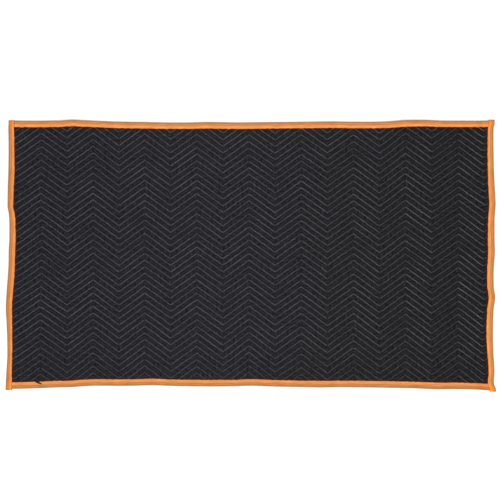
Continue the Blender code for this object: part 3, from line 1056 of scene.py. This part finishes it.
def glow(name, alongs, insets, column):
    # patches of a tape that show deeper orange, and patches of painted highlight and shade, added up at each
    # point
    total = np.zeros(alongs.shape)
    for owner, along, inset, reach, *values in glows:
        if owner == name:
            away = ((alongs / mm - along) ** 2 + (insets / mm - inset) ** 2) / reach**2
            total = total + values[column] * np.exp(-away)
    return total


def pullEnds(name, along, inset):
    # the ends of the side tapes are sewn on unevenly
    for owner, end, farther, out in endPulls:
        if owner == name:
            share = smoothStep((end * along - halfWidth + tape["pullFrom"]) / tape["pullRamp"])
            along = along + end * farther * mm * share
            inset = inset - out * mm * share
    return along, inset


def placeOn(isSide, end, along, inset, height):
    # from along a tape and in from its fold to the plain rectangle
    if isSide:
        return np.stack([end * (halfLength - inset), along, height], 1)
    return np.stack([along, end * (halfWidth - inset), height], 1)


def makeTape(name, cadNode, isSide, end, drawnIn, narrower, light, seed):
    limit = halfWidth + tape["endStand"] if isSide else halfLength - tape["longInset"]
    stations = np.linspace(-limit, limit, int(round(2 * limit / tape["stationStep"])) + 1)
    raised = endRaise(stations, isSide)
    room = tapeRoom + raised * (endRoom - tapeRoom)
    drawn = drawnIn * mm

    def level(inset):
        return np.full(len(stations), inset)

    # points around the section, each an inset and a height along the whole tape
    columns = []
    mapped = []
    for share in tape["outerInsets"]:
        inset = level(share * tapeReach)
        mapped.append(inset)
        wavy = smoothStep((share - tape["wavyFrom"]) / (1 - tape["wavyFrom"]))
        ripple = tape["edgeRipple"] * waves(stations, 0.0, tape["rippleLength"], seed)
        wave = tape["edgeWave"] * waves(stations, 0.0, tape["waveLength"], seed + 1)
        height = tapeSkin(inset, room) + wavy * ripple
        columns.append((inset + drawn * (1 - share) ** 2 + wavy * (wave - narrower * mm), height))
    columns.append((level(drawn), level(0.0)))
    for share in tape["underInsets"]:
        inset = level(share * tapeReach)
        height = -np.minimum(tapeSkin(inset, room), room + pad["tapeThick"])
        columns.append((inset + drawn * (1 - share) ** 2, height))
    columns.append((level(tapeReach), -room))
    for inset, side in ((2.7, -1), (1, 0), (2.7, 1)):
        columns.append((level(inset * tape["foldThick"]), side * room))
    columns.append((columns[0][0], room))
    columns.append(columns[0])
    # the map keeps the places that the bands of painted shade are counted by
    mapped = mapped + [column[0] for column in columns[len(mapped):-1]] + mapped[:1]
    strip = addGrid(name, len(columns), len(stations))
    mapped = np.stack(mapped, 1).ravel()
    insets, heights = (np.stack(rows, 1).ravel() for rows in zip(*columns))
    alongs = np.repeat(stations, len(columns))
    heights = heights * endPinch(alongs, isSide)
    writeMap(strip, np.stack([alongs, mapped], 1))
    writePoints(strip, restPoints(placeOn(isSide, end, *pullEnds(name, alongs, insets), heights)))
    # painted shade on each side tape's very end
    ring = tape["ringShade"] * np.exp(-(((limit - np.abs(alongs)) / tape["ringReach"]) ** 2)) * isSide
    doubled = tape["lapGlow"] * np.repeat(raised, len(columns)) + glow(name, alongs, insets, 0)
    writeValues(strip, "doubled", np.clip(doubled, 0, 1))
    # how light each tape is made, with painted highlight and shade at its ends
    writeValues(strip, "toneAndPaintedLight", light * (1 + glow(name, alongs, insets, 1) - ring))
    startEditing(strip)
    bpy.ops.mesh.remove_doubles(threshold=1e-6)
    bpy.ops.mesh.select_all(action="DESELECT")
    bpy.ops.mesh.select_mode(type="EDGE")
    bpy.ops.mesh.select_non_manifold()
    bpy.ops.mesh.fill_holes(sides=0)
    stopEditing()
    faceOutwards(strip)
    bpy.ops.object.shade_smooth_by_angle(angle=math.radians(50))
    finishPiece(strip, tapeMaterial)
    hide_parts(cadNode)
    return limit


def sewTape(name, limit, isSide, end):
    # where the stitches along a tape start and stop, on both faces
    starts = []
    stops = []
    inner = limit - (tape["sewnShort"] if isSide else tapeReach)
    for side in (-1, 1):
        along = np.arange(-inner, inner, tape["stitchPitch"]) + dice.uniform(0, 0.001)
        inset = tape["sewLine"] + tape["sewWander"] * waves(along, 0.0, tape["wanderLength"], 31 + side)
        for way, found in ((-1, starts), (1, stops)):
            at = along + way * (tape["stitchPitch"] - tape["stitchGap"]) / 2
            room = tapeRoom + endRaise(at, isSide) * (endRoom - tapeRoom)
            level = side * (tapeSkin(inset, room) * endPinch(at, isSide) + tape["stitchProud"])
            found.append(restPoints(placeOn(isSide, end, *pullEnds(name, at, inset), level)))
    return np.concatenate(starts), np.concatenate(stops)


# a tape's own name, its CAD node, whether it is on a short edge, the low or high end of the pad that it is
# on, how far its fold and its inner edge are drawn in, in mm, how light it is, and a seed
tapes = (
    ("tape_top", "binding_top", False, 1, 0.8, 0.6, 0.995, 51),
    ("tape_bottom", "binding_bottom", False, -1, 0.2, 0.4, 0.89, 61),
    ("tape_left", "binding_left", True, -1, 0.0, 1.1, 0.91, 71),
    ("tape_right", "binding_right", True, 1, 0.3, 0.9, 0.97, 81),
)
# patches in mm: the place along the tape and in from its fold, the reach, how orange, and how much lighter, a
# painted highlight on the raised ends that turns to painted shade below 0
glows = (
    ("tape_left", 482, 11.6, 8.0, 0.9, 0.04), ("tape_left", 495, 11.0, 4.5, 0.1, 0.22),
    ("tape_left", -488, 11.0, 10.0, 0.8, 0.06), ("tape_left", -474, 12.0, 6.0, 0.6, 0.03),
    ("tape_right", 483, 20.0, 9.0, 0.9, 0.04), ("tape_right", -492, 13.0, 11.0, 0.9, 0.06),
    ("tape_right", -484, 21.0, 4.5, 0.0, 0.22), ("tape_top", 872, 7.0, 7.0, 0.0, 0.14),
    ("tape_top", 884, 18.0, 9.0, 0.7, 0.0), ("tape_bottom", -888, 20.0, 6.0, 0.0, 0.16),
    ("tape_bottom", 884, 14.0, 5.0, 0.8, -0.10), ("tape_bottom", 858, 12.0, 24.0, 0.5, -0.03),
)
# how far each side tape's end is pulled farther along and out, in mm: its low or high end
endPulls = (
    ("tape_left", -1, 1.0, -1.0), ("tape_left", 1, -2.8, -1.2),
    ("tape_right", -1, 0.8, 2.6), ("tape_right", 1, -1.2, 2.8),
)
sewn = []
for row in tapes:
    name, cadNode, isSide, end = row[:4]
    sewn.append(sewTape(name, makeTape(*row), isSide, end))
tapeStarts, tapeStops = (np.concatenate(ends) for ends in zip(*sewn))
tapeShades = dice.uniform(0.85, 1.15, len(tapeStarts))
layStitches("tape_stitches", tapeStarts, tapeStops, tape["stitchThick"],
            tapeShades, orangeThread)
print("tapes folded and sewn")

# a scrap of the cloth caught over the bottom tape, and bits of pale lint on the quilting

scrap = {
    # the scrap's middle line, as pixels of the camera's view, and half its width in mm
    "line": (
        (33.0, 380.3, 1.0), (35.4, 381.2, 3.3), (37.6, 382.2, 3.6), (39.6, 383.1, 3.0), (41.8, 384.2, 1.2),
    ),
    "across": 5,
    "stations": 17,
    "thick": 0.0004,
    "stand": 0.0004,           # how far it stands over what it lies on, and its bulge
    "bulge": 0.0003,
    "overCloth": 0.0005,
    "darkening": 0.35,              # how far it takes on the painted shadow colour of the crevice
    "flatWidth": 0.010,
}
lint = {
    # pixels of the camera's view, the turn in degrees and the length in mm
    "bits": (
        (128.7, 169.4, 20, 3.6), (160.5, 164.8, -35, 3.0), (354.4, 207.6, 60, 3.4), (355.2, 237.4, 10, 3.0),
        (369.3, 297.7, -50, 3.4), (92.0, 139.5, 35, 2.6), (92.7, 347.3, -35, 2.8), (326.0, 372.0, 30, 3.0),
    ),
    "thick": (0.0010, 0.0007),
    "level": 0.0043,
    "shade": 2.2,
}


def makeScrap():
    line = np.array([plainPoint(*row[:2]) for row in scrap["line"]])
    stations = np.linspace(0, len(line) - 1, scrap["stations"])
    half = np.interp(stations, range(len(line)), [row[2] for row in scrap["line"]]) * mm
    middle = np.stack([np.interp(stations, range(len(line)), line[:, axis]) for axis in (0, 1)], 1)
    way = np.gradient(middle, axis=0)
    side = np.stack([-way[:, 1], way[:, 0]], 1) / np.linalg.norm(way, axis=1)[:, None]
    piece = addGrid("cloth_scrap", scrap["across"], len(stations))
    spread = np.tile(np.linspace(-1, 1, scrap["across"]), len(stations))
    row = np.repeat(np.arange(len(stations)), scrap["across"])
    place = middle[row] + side[row] * (half[row] * spread)[:, None]
    inset = halfWidth + place[:, 1]
    onTape = tapeSkin(np.minimum(inset, tapeReach - 0.002), tapeRoom)
    onCloth = pad["boundHalf"] + scrap["overCloth"]
    height = onTape + (onCloth - onTape) * smoothStep((inset - tapeReach + 0.0005) / 0.003)
    height = height + scrap["stand"] + scrap["bulge"] * (1 - spread**2)
    writeMap(piece, place)
    writePoints(piece, restPoints(np.column_stack([place, height])))
    takeUp(piece)
    bpy.ops.object.modifier_add(type="SOLIDIFY")
    piece.modifiers[-1].thickness = scrap["thick"]
    piece.modifiers[-1].offset = 0
    bpy.ops.object.modifier_apply(modifier=piece.modifiers[-1].name)
    bpy.ops.object.shade_smooth()
    # part of the painted shadow beside the tape, over the whole scrap
    writeValues(piece, "paintedShadowMask", np.full(len(piece.data.vertices), scrap["darkening"]))
    finishPiece(piece, clothMaterial)


def makeLint():
    starts = []
    stops = []
    for pixelX, pixelY, turn, length in lint["bits"]:
        middle = plainPoint(pixelX, pixelY)
        reach = np.array([math.cos(math.radians(turn)), math.sin(math.radians(turn))]) * length * mm / 2
        for end, found in ((-1, starts), (1, stops)):
            found.append(restPoints(np.array([[*(middle + end * reach), lint["level"]]]))[0])
    shades = np.full(len(starts), lint["shade"])
    layStitches("lint", np.array(starts), np.array(stops), lint["thick"], shades, greyThread)


makeScrap()
makeLint()
bpy.data.objects.remove(stitch)
print("scrap and lint laid")

# stage, light and camera

studio = {
    "floorSize": 24.0,
    "floorDrop": 0.0003,
    "floorColour": (0.92, 0.92, 0.92, 1.0),
    "roughness": 0.9,
    "specular": 0.1,
    "sky": 0.62,
    "lampEnergy": 420.0,
    "lampPlace": (0.0, -1.6, 7.5),
    "lampSize": 4.5,
}


def makeStage():
    deselectAll()
    bpy.ops.mesh.primitive_plane_add(size=studio["floorSize"], location=(0, 0, -studio["floorDrop"]))
    floor = bpy.context.object
    floor.name = "floor"
    material, tree, shader = startMaterial("paleFloor", studio)
    shader.inputs["Base Color"].default_value = studio["floorColour"]
    floor.data.materials.append(material)
    world = bpy.data.worlds.new("studio")
    world.use_nodes = True
    world.node_tree.nodes["Background"].inputs["Color"].default_value = (1, 1, 1, 1)
    world.node_tree.nodes["Background"].inputs["Strength"].default_value = studio["sky"]
    bpy.context.scene.world = world
    aim = math.atan2(-studio["lampPlace"][1], studio["lampPlace"][2])
    bpy.ops.object.light_add(type="AREA", location=studio["lampPlace"], rotation=(aim, 0, 0))
    lamp = bpy.context.object
    lamp.name = "softLamp"
    lamp.data.energy = studio["lampEnergy"]
    lamp.data.size = studio["lampSize"]


def makeCamera():
    span = cameraLook["photoSize"] * cameraLook["pixel"]
    x, y = fromMiddle(cameraLook["photoSize"] / 2, cameraLook["photoSize"] / 2)
    z = cameraLook["height"] + span * cameraLook["lens"] / cameraLook["sensor"]
    bpy.ops.object.camera_add(location=(slideX + x, slideY + y, z), rotation=(0, 0, 0))
    camera = bpy.context.object
    camera.data.lens = cameraLook["lens"]
    camera.data.sensor_width = cameraLook["sensor"]
    camera.data.clip_end = 100
    bpy.context.scene.camera = camera


makeStage()
makeCamera()
bpy.context.scene.view_settings.view_transform = "Standard"
print("stage, light and camera set")

total = 0
for piece in bpy.data.objects:
    if piece.type == "MESH" and not piece.hide_render:
        piece.data.calc_loop_triangles()
        total += len(piece.data.loop_triangles)
        print(piece.name, len(piece.data.loop_triangles), "triangles")
print("all pieces:", total, "triangles")
